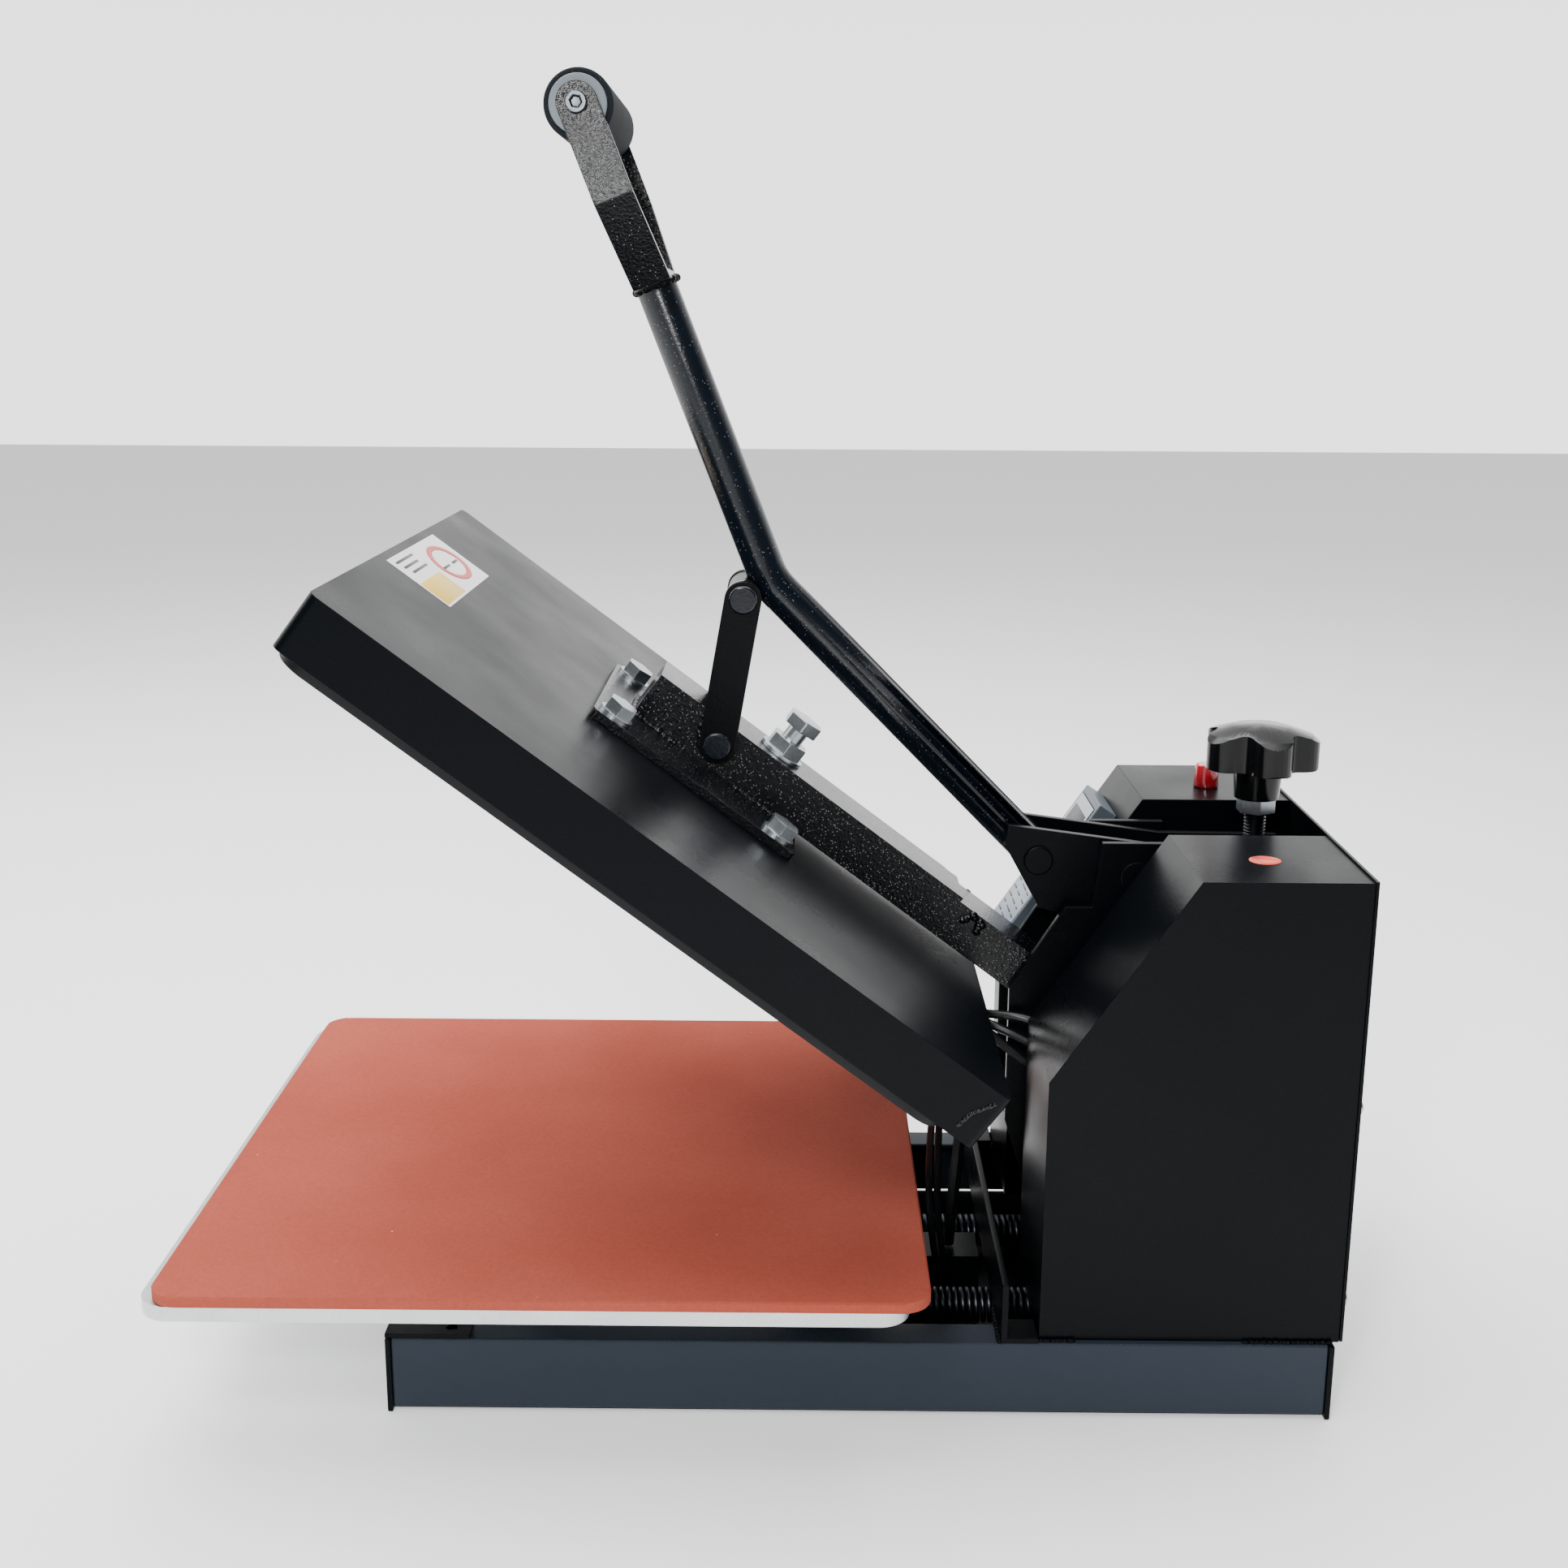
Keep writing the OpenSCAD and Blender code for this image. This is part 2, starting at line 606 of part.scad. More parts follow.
module grip_fork() color("#1b2127") difference() {
    at_upper() translate([0, 0, handle_up - bend_t]) intersection() {
        rotate([90, 0, 0]) translate([0, 0, -10]) linear_extrude(20) difference() {
            polygon([[-30, 0], [30, 0], [grip_x + 4, 42], [grip_x + 4, 102],
                [-grip_x - 4, 102], [-grip_x - 4, 42]]);
            polygon([[-27, 5], [27, 5], [grip_x, 43], [grip_x, 103], [-grip_x, 103],
                [-grip_x, 43]]);
        }
        union() {
            translate([-100, -10, -1]) cube([200, 20, grip_up + 1]);
            bar_x(-100, 200, 0, grip_up, 10);
        }
    }
    at_upper() bar_x(-100, 200, 0, handle_up - bend_t + grip_up, 4);
}

module grip_axle() color("#a9adb0") at_upper() translate([0, 0, handle_up - bend_t + grip_up]) {
    bar_x(-grip_x - 4, 2 * grip_x + 8, 0, 0, 4);
    for (s = [-1, 1]) difference() {
        bar_x(s > 0 ? grip_x + 4 : -grip_x - 8, 4, 0, 0, 5.2);
        translate([s > 0 ? grip_x + 5.5 : -grip_x - 9, 0, 0]) rotate([0, 90, 0]) hex(5, 3.5);
    }
}

module grip_roller() color("#2c3237") at_upper()
    translate([0, 0, handle_up - bend_t + grip_up]) difference() {
        bar_x(-grip_l / 2 + 2, grip_l - 4, 0, 0, grip_d / 2);
        bar_x(-100, 200, 0, 0, 4 + fit);
    }

module grip_caps() color("#6b737a") at_upper()
    translate([0, 0, handle_up - bend_t + grip_up]) for (s = [-1, 1]) difference() {
        bar_x(s > 0 ? grip_l / 2 - 2 : -grip_l / 2 - 0.5, 2.5, 0, 0, grip_d / 2 - 3);
        bar_x(-100, 200, 0, 0, 4 + fit);
    }

module link_bar(x0) {
    dy = link_low_y - link_top_y;
    dz = link_low_z - link_top_z;
    l = norm([dy, dz]);
    difference() {
        translate([x0, link_top_y, link_top_z]) rotate([atan2(dz, dy), 0, 0]) {
            translate([0, 0, -link_r]) cube([link_t, l, 2 * link_r]);
            bar_x(0, link_t, 0, 0, link_r);
            bar_x(0, link_t, l, 0, link_r);
        }
        bar_x(x0 - 1, link_t + 2, link_top_y, link_top_z, link_pin_r);
        bar_x(x0 - 1, link_t + 2, link_low_y, link_low_z, link_pin_r);
    }
}
module links() color("#1b2026") {
    link_bar(link_in);
    link_bar(-link_in - link_t);
}

module link_pins() color("#2b3137") {
    w = link_in + link_t;
    bar_x(-w, 2 * w, link_top_y, link_top_z, link_pin_r);
    for (s = [-1, 1]) bar_x(s > 0 ? w : -w - 2.5, 2.5, link_top_y, link_top_z, 7.5);
    for (s = [-1, 1]) {
        bar_x(s > 0 ? link_in : -w, link_t, link_low_y, link_low_z, link_pin_r);
        bar_x(s > 0 ? w : -w - 2.5, 2.5, link_low_y, link_low_z, 7.5);
    }
}

side_rails();
end_plates();
corner_flanges();
centre_beam();
platen_supports();
cross_wall();
platen_posts();
lower_platen();
platen_bolts();
silicone_pad();
spring_anchors();
lift_springs();
column_plates();
column_web();
head_hinge_pin();
rocker_pin();
housing_right();
housing_left();
rear_panel();
rear_screws();
round_label();
controller_case();
controller_window();
controller_button_a();
controller_button_b();
controller_button_c();
indicator_lamp();
power_inlet();
power_switch_frame();
power_switch();
fuse_holder();
relay();
head_cables();
drop_cables();
head_cover();
heating_plate();
heating_element();
insulation_board();
arm_plate();
arm_plate_bolts();
lifting_arm();
arm_hinge();
centre_bolt();
centre_nut();
caution_label();
cable_gland();
rocker_plates();
rocker_nut_bar();
handle_pivot_pin();
pressure_screw();
lock_nut();
star_knob();
handle_tube();
handle_sleeves();
grip_fork();
grip_axle();
grip_roller();
grip_caps();
links();
link_pins();
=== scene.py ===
import json
import math

import bmesh
import bpy
from mathutils import Matrix, Vector

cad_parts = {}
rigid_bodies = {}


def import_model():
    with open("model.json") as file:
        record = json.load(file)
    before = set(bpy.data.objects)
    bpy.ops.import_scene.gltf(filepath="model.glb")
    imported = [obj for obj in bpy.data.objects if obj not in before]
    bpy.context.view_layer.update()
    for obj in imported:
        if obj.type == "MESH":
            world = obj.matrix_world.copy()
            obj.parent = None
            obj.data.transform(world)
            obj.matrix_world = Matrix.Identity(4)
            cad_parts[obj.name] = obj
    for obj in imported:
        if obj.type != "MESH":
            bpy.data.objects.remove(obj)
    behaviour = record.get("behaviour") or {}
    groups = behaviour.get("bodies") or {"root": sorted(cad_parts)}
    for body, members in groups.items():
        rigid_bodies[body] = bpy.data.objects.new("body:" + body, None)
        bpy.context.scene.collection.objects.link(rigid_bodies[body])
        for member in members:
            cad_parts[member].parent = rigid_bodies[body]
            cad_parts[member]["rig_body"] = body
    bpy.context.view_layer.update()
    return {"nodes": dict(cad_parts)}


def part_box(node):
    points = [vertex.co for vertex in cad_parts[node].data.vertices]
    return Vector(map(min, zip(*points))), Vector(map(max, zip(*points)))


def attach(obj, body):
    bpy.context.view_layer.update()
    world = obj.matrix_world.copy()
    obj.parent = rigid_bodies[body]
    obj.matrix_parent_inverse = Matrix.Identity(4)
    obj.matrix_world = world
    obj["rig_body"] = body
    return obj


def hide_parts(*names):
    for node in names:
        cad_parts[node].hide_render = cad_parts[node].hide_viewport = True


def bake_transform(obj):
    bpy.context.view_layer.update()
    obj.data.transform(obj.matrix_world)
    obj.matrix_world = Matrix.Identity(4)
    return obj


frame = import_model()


# ---- The room ----
# The press stands on a plain white table in a white studio. Large soft boxes hang
# over it and before it, and two small ones light its right side.
table_size = 16.0
bpy.ops.object.select_all(action="DESELECT")
bpy.ops.mesh.primitive_plane_add(size=table_size, location=(0, 0, -0.0002))
table = bpy.context.object
table.name = "table_top"
bpy.ops.object.transform_apply(location=True, rotation=True, scale=True)
white = bpy.data.materials.new("white table")
white.use_nodes = True
shader = white.node_tree.nodes["Principled BSDF"]
shader.inputs["Base Color"].default_value = (0.92, 0.92, 0.92, 1)
shader.inputs["Roughness"].default_value = 0.75
shader.inputs["Emission Color"].default_value = (1, 1, 1, 1)
shader.inputs["Emission Strength"].default_value = 0.45
table.data.materials.append(white)

world = bpy.data.worlds.new("studio")
bpy.context.scene.world = world
world.use_nodes = True
sky = world.node_tree
heading = sky.nodes.new("ShaderNodeSeparateXYZ")
sky.links.new(sky.nodes.new("ShaderNodeTexCoord").outputs["Generated"], heading.inputs[0])
falloff = sky.nodes.new("ShaderNodeMapRange")
falloff.interpolation_type = "SMOOTHSTEP"
for socket, value in {"From Min": -0.5, "From Max": 0.3, "To Min": 1.0, "To Max": 0.04}.items():
    falloff.inputs[socket].default_value = value
sky.links.new(heading.outputs["X"], falloff.inputs["Value"])
rise = sky.nodes.new("ShaderNodeMapRange")
rise.interpolation_type = "SMOOTHSTEP"
for socket, value in {"From Min": 0.1, "From Max": 0.45, "To Min": 2.5, "To Max": 1.0}.items():
    rise.inputs[socket].default_value = value
sky.links.new(heading.outputs["Z"], rise.inputs["Value"])
glow = sky.nodes.new("ShaderNodeMath")
glow.operation = "MULTIPLY"
sky.links.new(falloff.outputs["Result"], glow.inputs[0])
sky.links.new(rise.outputs["Result"], glow.inputs[1])
sky.nodes["Background"].inputs["Color"].default_value = (1, 1, 1, 1)
sky.links.new(glow.outputs[0], sky.nodes["Background"].inputs["Strength"])


def soft_box(name, place, aim, wide, tall, watts):
    lamp = bpy.data.lights.new(name, "AREA")
    lamp.shape = "RECTANGLE"
    lamp.size, lamp.size_y, lamp.energy = wide, tall, watts
    holder = bpy.data.objects.new(name, lamp)
    bpy.context.scene.collection.objects.link(holder)
    holder.location = place
    holder.rotation_euler = (Vector(aim) - Vector(place)).to_track_quat("-Z", "Y").to_euler()


soft_box("overhead", (-0.5, -0.1, 2.0), (-0.2, 0.1, 0.0), 2.4, 2.4, 95)
soft_box("front", (-0.4, -1.9, 1.4), (0, -0.1, 0.1), 1.2, 1.2, 14)
soft_box("side", (1.5, -0.4, 1.7), (0, 0.1, 0.2), 0.4, 0.4, 16)
soft_box("flash", (1.05, -0.02, 0.72), (0, 0.1, 0.5), 0.12, 0.12, 6)

eye = bpy.data.cameras.new("eye")
eye.sensor_width = 36
eye.lens = 43.36
viewer = bpy.data.objects.new("eye", eye)
bpy.context.scene.collection.objects.link(viewer)
viewer.location = (1.0114, 0.1218, 0.5497)
viewer.rotation_euler = tuple(math.radians(a) for a in (76.4508, -0.315, 90.4099))
bpy.context.scene.camera = viewer


# ---- Base frame ----
# Two folded steel rails and two end plates are welded into a long open frame, with
# a box beam down the middle. The rails are powder coated black like the rest, their colour
# raised to slate blue as a painted reflection of the white table. The end plates and the
# beam reach lowest and stand on the table.
def paint(code, alpha=1):
    parts = [int(code[i:i + 2], 16) / 255 for i in (1, 3, 5)]
    return tuple(c / 12.92 if c < 0.04045 else ((c + 0.055) / 1.055) ** 2.4
                 for c in parts) + (alpha,)


def group_of(name, inputs, outputs):
    made = bpy.data.node_groups.new(name, "ShaderNodeTree")
    for kind, label, value in inputs:
        sock = made.interface.new_socket(label, in_out="INPUT", socket_type=kind)
        sock.default_value = value
    for kind, label in outputs:
        made.interface.new_socket(label, in_out="OUTPUT", socket_type=kind)
    return made, made.nodes.new("NodeGroupInput"), made.nodes.new("NodeGroupOutput")


def node(tree, kind, links=(), **sets):
    made = tree.nodes.new(kind)
    for key, value in sets.items():
        setattr(made, key, value)
    for socket, value in links:
        target = made.inputs[socket]
        if isinstance(value, bpy.types.NodeSocket):
            tree.links.new(value, target)
        else:
            target.default_value = value
    return made


# Orange peel, dust and painted glints of a sprayed coat; the glints are light dots in the base
# colour standing in for sparkle highlights
coat_group, src, out = group_of(
    "sprayed coat",
    [("NodeSocketColor", "Paint", (0.01, 0.01, 0.01, 1)),
     ("NodeSocketColor", "Painted Glint", (0.75, 0.78, 0.8, 1)),
     ("NodeSocketFloat", "Peel Scale", 900.0), ("NodeSocketFloat", "Painted Glint Amount", 0.1),
     ("NodeSocketFloat", "Roughness", 0.3)],
    [("NodeSocketColor", "Color"), ("NodeSocketFloat", "Roughness"),
     ("NodeSocketFloat", "Height")])
place = node(coat_group, "ShaderNodeTexCoord")
peel = node(coat_group, "ShaderNodeTexNoise",
            [("Vector", place.outputs["Object"]), ("Scale", src.outputs["Peel Scale"]),
             ("Detail", 3.0), ("Roughness", 0.6)])
# Painted glints: a few cells turn the base colour light grey, a painted highlight where the coat
# would sparkle in the light
painted_glint = node(coat_group, "ShaderNodeTexVoronoi",
             [("Vector", place.outputs["Object"]), ("Scale", 760.0)])
painted_glint_mask = node(coat_group, "ShaderNodeMapRange",
                  [("Value", painted_glint.outputs["Distance"]), ("From Min", 0.26), ("From Max", 0.14),
                   ("To Min", 0.0), ("To Max", 1.0)])
painted_glint_some = node(coat_group, "ShaderNodeSeparateColor", [("Color", painted_glint.outputs["Color"])])
painted_glint_pick = node(coat_group, "ShaderNodeMath",
                  [(0, painted_glint_some.outputs["Red"]), (1, 0.8)], operation="GREATER_THAN")
painted_glint_both = node(coat_group, "ShaderNodeMath",
                  [(0, painted_glint_mask.outputs["Result"]), (1, painted_glint_pick.outputs[0])],
                  operation="MULTIPLY")
painted_glint_share = node(coat_group, "ShaderNodeMath",
                   [(0, painted_glint_both.outputs[0]), (1, src.outputs["Painted Glint Amount"])],
                   operation="MULTIPLY")
cloud = node(coat_group, "ShaderNodeTexNoise",
             [("Vector", place.outputs["Object"]), ("Scale", 14.0), ("Detail", 4.0)])
shade = node(coat_group, "ShaderNodeMix",
             [(0, painted_glint_share.outputs[0]), (6, src.outputs["Paint"]),
              (7, src.outputs["Painted Glint"])], data_type="RGBA")
smear = node(coat_group, "ShaderNodeMapRange",
             [("Value", cloud.outputs["Fac"]), ("From Min", 0.3), ("From Max", 0.7),
              ("To Min", -0.05), ("To Max", 0.06)])
rough_sum = node(coat_group, "ShaderNodeMath",
                 [(0, src.outputs["Roughness"]), (1, smear.outputs["Result"])], operation="ADD")
coat_group.links.new(shade.outputs[2], out.inputs["Color"])
coat_group.links.new(rough_sum.outputs[0], out.inputs["Roughness"])
coat_group.links.new(peel.outputs["Fac"], out.inputs["Height"])


def sprayed(name, color, rough, peel_scale=900.0, bump=0.35, painted_glint_amount=0.25, shine=0.5,
            depth=0.0004):
    made = bpy.data.materials.new(name)
    made.use_nodes = True
    tree = made.node_tree
    body = tree.nodes["Principled BSDF"]
    look = node(tree, "ShaderNodeGroup", node_tree=coat_group)
    look.inputs["Paint"].default_value = paint(color)
    look.inputs["Peel Scale"].default_value = peel_scale
    look.inputs["Painted Glint Amount"].default_value = painted_glint_amount
    look.inputs["Roughness"].default_value = rough
    lift = node(tree, "ShaderNodeBump", [("Height", look.outputs["Height"]),
                                         ("Strength", bump), ("Distance", depth)])
    tree.links.new(look.outputs["Color"], body.inputs["Base Color"])
    tree.links.new(look.outputs["Roughness"], body.inputs["Roughness"])
    tree.links.new(lift.outputs["Normal"], body.inputs["Normal"])
    body.inputs["Specular IOR Level"].default_value = shine
    return made


black_coat = sprayed("black powder coat", "#06090c", 0.3, bump=0.2, painted_glint_amount=0.0, shine=0.08)
rough_coat = sprayed("coarse powder coat", "#07090c", 0.2, peel_scale=620.0, bump=0.8,
                     painted_glint_amount=0.3, shine=0.35, depth=0.0004)
# The rails' colour is slate blue: a painted reflection of the white table on the black coat
rail_reflection_coat = sprayed("black coat with painted table reflection", "#2b333d", 0.4, bump=0.2, painted_glint_amount=0.05, shine=0.15)


def dressed(name, part, body, round_off, look, steps=2, angle=35):
    """A copy of a CAD piece with its edges rounded off, standing for it."""
    bpy.ops.object.select_all(action="DESELECT")
    source = frame["nodes"][part]
    made = bpy.data.objects.new(name, source.data.copy())
    bpy.context.scene.collection.objects.link(made)
    made.data.materials.clear()
    bpy.context.view_layer.objects.active = made
    made.select_set(True)
    bpy.ops.object.mode_set(mode="EDIT")
    bpy.ops.mesh.select_all(action="SELECT")
    bpy.ops.mesh.remove_doubles(threshold=0.00002)
    bpy.ops.mesh.dissolve_limited(angle_limit=math.radians(0.6))
    bpy.ops.object.mode_set(mode="OBJECT")
    if round_off:
        edge = made.modifiers.new("edge", "BEVEL")
        edge.width, edge.segments = round_off, steps
        edge.limit_method, edge.angle_limit = "ANGLE", math.radians(angle)
        edge.use_clamp_overlap = True
        edge.harden_normals = False
        bpy.ops.object.modifier_apply(modifier="edge")
    bpy.ops.object.shade_smooth_by_angle(angle=math.radians(32))
    if round_off:
        even = made.modifiers.new("even", "WEIGHTED_NORMAL")
        even.keep_sharp, even.weight = True, 100
        bpy.ops.object.modifier_apply(modifier="even")
    made.data.materials.append(look)
    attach(made, body)
    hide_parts(part)
    return made


def bead(name, start, end, radius, body, look):
    """A weld bead: a row of overlapping flattened drops, each a little different."""
    start, end = Vector(start), Vector(end)
    count = max(3, int((end - start).length / (radius * 0.8)))
    bpy.ops.object.select_all(action="DESELECT")
    bpy.ops.mesh.primitive_uv_sphere_add(segments=10, ring_count=6, radius=radius,
                                         location=start)
    first = bpy.context.object
    first.name = name
    first.scale = (1, 1, 0.9)
    bpy.ops.object.transform_apply(location=True, rotation=True, scale=True)
    drop = first.data.copy()
    for i in range(1, count + 1):
        copy = bpy.data.objects.new(name, drop.copy())
        bpy.context.scene.collection.objects.link(copy)
        swell = 1 + 0.16 * math.sin(i * 2.3) + 0.08 * math.sin(i * 5.1)
        shift = (end - start) * i / count
        wander = Vector((math.sin(i * 1.7), math.sin(i * 2.9), math.cos(i * 2.1))) * radius * 0.1
        copy.data.transform(Matrix.Translation(start + shift + wander)
                            @ Matrix.Scale(swell, 4) @ Matrix.Translation(-start))
        copy.select_set(True)
    first.select_set(True)
    bpy.context.view_layer.objects.active = first
    bpy.ops.object.join()
    bpy.ops.object.shade_smooth()
    first.data.materials.clear()
    first.data.materials.append(look)
    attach(first, body)
    return first


dressed("rails", "side_rails", "base", 0.0012, rail_reflection_coat)
dressed("end_caps", "end_plates", "base", 0.0008, black_coat)
dressed("corner_plates", "corner_flanges", "base", 0.0006, black_coat)
dressed("middle_beam", "centre_beam", "base", 0.0028, black_coat, steps=3)
dressed("platen_brackets", "platen_supports", "base", 0.0012, black_coat)
dressed("cross_wall_plate", "cross_wall", "base", 0.0007, black_coat)
rail_seam_x, rail_seam_z = 0.1292, 0.0422
wall_seam_y, wall_seam_z = 0.2295, 0.0425
for side, hand in ((-1, "l"), (1, "r")):
    for n, (y0, y1) in enumerate([(0.232, 0.267), (0.356, 0.400)]):
        bead(f"rail_weld_{n}_{hand}", (side * rail_seam_x, y0, rail_seam_z),
             (side * rail_seam_x, y1, rail_seam_z), 0.0014, "base", black_coat)
    bead(f"wall_weld_{hand}", (side * 0.131, wall_seam_y, wall_seam_z),
         (side * 0.100, wall_seam_y, wall_seam_z), 0.0015, "base", black_coat)


# ---- Lower platen ----
# A machined aluminium plate on two zinc plated pillars and a block at the rear,
# held by bolts from below. Its faces keep the fine lines of the mill and brush.
brush_group, src, out = group_of(
    "brushed lines",
    [("NodeSocketColor", "Metal", (0.6, 0.6, 0.61, 1)), ("NodeSocketFloat", "Lines", 60.0),
     ("NodeSocketFloat", "Roughness", 0.35)],
    [("NodeSocketColor", "Color"), ("NodeSocketFloat", "Roughness"),
     ("NodeSocketFloat", "Height")])
place = node(brush_group, "ShaderNodeTexCoord")
squeeze = node(brush_group, "ShaderNodeMapping", [("Vector", place.outputs["Object"]),
                                                  ("Scale", (1.0, 30.0, 30.0))])
lines = node(brush_group, "ShaderNodeTexNoise",
             [("Vector", squeeze.outputs["Vector"]), ("Scale", src.outputs["Lines"]),
              ("Detail", 4.0), ("Roughness", 0.7)])
stain = node(brush_group, "ShaderNodeTexNoise",
             [("Vector", place.outputs["Object"]), ("Scale", 22.0), ("Detail", 5.0)])
tone = node(brush_group, "ShaderNodeMapRange",
            [("Value", lines.outputs["Fac"]), ("From Min", 0.3), ("From Max", 0.7),
             ("To Min", 0.82), ("To Max", 1.08)])
tone2 = node(brush_group, "ShaderNodeMapRange",
             [("Value", stain.outputs["Fac"]), ("From Min", 0.35), ("From Max", 0.75),
              ("To Min", 1.03), ("To Max", 0.86)])
both = node(brush_group, "ShaderNodeMath", [(0, tone.outputs["Result"]),
                                            (1, tone2.outputs["Result"])],
            operation="MULTIPLY")
tint = node(brush_group, "ShaderNodeVectorMath", [(0, src.outputs["Metal"])],
            operation="SCALE")
brush_group.links.new(both.outputs[0], tint.inputs["Scale"])
rough_var = node(brush_group, "ShaderNodeMapRange",
                 [("Value", lines.outputs["Fac"]), ("To Min", -0.06), ("To Max", 0.08)])
rough_sum = node(brush_group, "ShaderNodeMath",
                 [(0, src.outputs["Roughness"]), (1, rough_var.outputs["Result"])],
                 operation="ADD")
brush_group.links.new(tint.outputs["Vector"], out.inputs["Color"])
brush_group.links.new(rough_sum.outputs[0], out.inputs["Roughness"])
brush_group.links.new(lines.outputs["Fac"], out.inputs["Height"])


def metal(name, color, rough, lines_scale=60.0, bump=0.12):
    made = bpy.data.materials.new(name)
    made.use_nodes = True
    tree = made.node_tree
    body = tree.nodes["Principled BSDF"]
    look = node(tree, "ShaderNodeGroup", node_tree=brush_group)
    look.inputs["Metal"].default_value = paint(color)
    look.inputs["Lines"].default_value = lines_scale
    look.inputs["Roughness"].default_value = rough
    lift = node(tree, "ShaderNodeBump", [("Height", look.outputs["Height"]),
                                         ("Strength", bump), ("Distance", 0.0002)])
    tree.links.new(look.outputs["Color"], body.inputs["Base Color"])
    tree.links.new(look.outputs["Roughness"], body.inputs["Roughness"])
    tree.links.new(lift.outputs["Normal"], body.inputs["Normal"])
    body.inputs["Metallic"].default_value = 1.0
    return made


aluminium = metal("brushed aluminium", "#d6d8d9", 0.36, 55.0)
zinc = metal("zinc plate", "#b6bdc2", 0.3, 25.0, 0.05)
dressed("platen", "lower_platen", "base", 0.0007, aluminium)
dressed("pillars", "platen_posts", "base", 0.0008, zinc)
dressed("pillar_bolts", "platen_bolts", "base", 0.0004, zinc)


# ---- Silicone pad ----
# A moulded sheet of red-brown silicone rubber that lies on the platen. Its skin is
# matt with fine specks, and its lower edge is cut a little unevenly.
bpy.ops.object.select_all(action="DESELECT")
pad_low, pad_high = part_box("silicone_pad")
pad_mid = (pad_low + pad_high) / 2
pad_corner, pad_edge = 0.016, 0.0009
bpy.ops.mesh.primitive_plane_add(size=pad_high.x - pad_low.x,
                                 location=(pad_mid.x, pad_mid.y, pad_low.z))
pad = bpy.context.object
pad.name = "rubber_pad"
bpy.ops.object.transform_apply(location=True, rotation=True, scale=True)
bpy.ops.object.mode_set(mode="EDIT")
bpy.ops.mesh.bevel(offset=pad_corner, segments=10, affect="VERTICES")
for layer in range(2):
    bpy.ops.mesh.extrude_region_move(
        TRANSFORM_OT_translate={"value": (0, 0, (pad_high.z - pad_low.z) * 0.5)})
bpy.ops.mesh.inset(thickness=pad_edge)
bpy.ops.mesh.inset(thickness=0.006)
bpy.ops.object.mode_set(mode="OBJECT")
for v in pad.data.vertices:
    edge_out = max(abs(v.co.x - pad_mid.x), abs(v.co.y - pad_mid.y))
    if v.co.z > pad_high.z - 1e-5 and edge_out > pad_high.x - 0.0004:
        v.co.z -= pad_edge
    if abs(v.co.z - pad_low.z) < 1e-5:
        v.co.z += 0.00035 * (1 + math.sin(v.co.x * 171) * math.cos(v.co.y * 143))
bpy.ops.object.mode_set(mode="EDIT")
bpy.ops.mesh.select_all(action="SELECT")
bpy.ops.mesh.normals_make_consistent(inside=False)
bpy.ops.object.mode_set(mode="OBJECT")
bpy.ops.object.shade_smooth_by_angle(angle=math.radians(40))
silicone = bpy.data.materials.new("silicone rubber")
silicone.use_nodes = True
tree = silicone.node_tree
rubber = tree.nodes["Principled BSDF"]
place = node(tree, "ShaderNodeTexCoord")
speck = node(tree, "ShaderNodeTexNoise", [("Vector", place.outputs["Object"]),
                                          ("Scale", 420.0), ("Detail", 6.0),
                                          ("Roughness", 0.75)])
blotch = node(tree, "ShaderNodeTexNoise", [("Vector", place.outputs["Object"]),
                                           ("Scale", 9.0), ("Detail", 4.0)])
dots = node(tree, "ShaderNodeTexVoronoi", [("Vector", place.outputs["Object"]),
                                           ("Scale", 95.0)])
dot_mask = node(tree, "ShaderNodeMapRange", [("Value", dots.outputs["Distance"]),
                                             ("From Min", 0.055), ("From Max", 0.03)])
dot_some = node(tree, "ShaderNodeSeparateColor", [("Color", dots.outputs["Color"])])
dot_pick = node(tree, "ShaderNodeMath", [(0, dot_some.outputs["Green"]), (1, 0.9)],
                operation="GREATER_THAN")
dot_both = node(tree, "ShaderNodeMath", [(0, dot_mask.outputs["Result"]),
                                         (1, dot_pick.outputs[0])], operation="MULTIPLY")
ramp = node(tree, "ShaderNodeValToRGB", [("Fac", blotch.outputs["Fac"])])
ramp.color_ramp.elements[0].position, ramp.color_ramp.elements[1].position = 0.3, 0.75
ramp.color_ramp.elements[0].color = paint("#a14a3a")
ramp.color_ramp.elements[1].color = paint("#ad5545")
specked = node(tree, "ShaderNodeMix", [("Factor", 0.5)], data_type="RGBA",
               blend_type="OVERLAY")
tree.links.new(ramp.outputs["Color"], specked.inputs[6])
grey = node(tree, "ShaderNodeMapRange", [("Value", speck.outputs["Fac"]), ("From Min", 0.35),
                                         ("From Max", 0.65), ("To Min", 0.42),
                                         ("To Max", 0.58)])
tree.links.new(grey.outputs["Result"], specked.inputs[7])
dusted = node(tree, "ShaderNodeMix", data_type="RGBA")
tree.links.new(dot_both.outputs[0], dusted.inputs[0])
tree.links.new(specked.outputs[2], dusted.inputs[6])
dusted.inputs[7].default_value = paint("#d9b7aa")
tree.links.new(dusted.outputs[2], rubber.inputs["Base Color"])
rise = node(tree, "ShaderNodeBump", [("Height", speck.outputs["Fac"]), ("Strength", 0.25),
                                     ("Distance", 0.0003)])
tree.links.new(rise.outputs["Normal"], rubber.inputs["Normal"])
rubber.inputs["Roughness"].default_value = 0.85
rubber.inputs["Specular IOR Level"].default_value = 0.1
pad.data.materials.append(silicone)
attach(pad, "base")
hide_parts("silicone_pad")


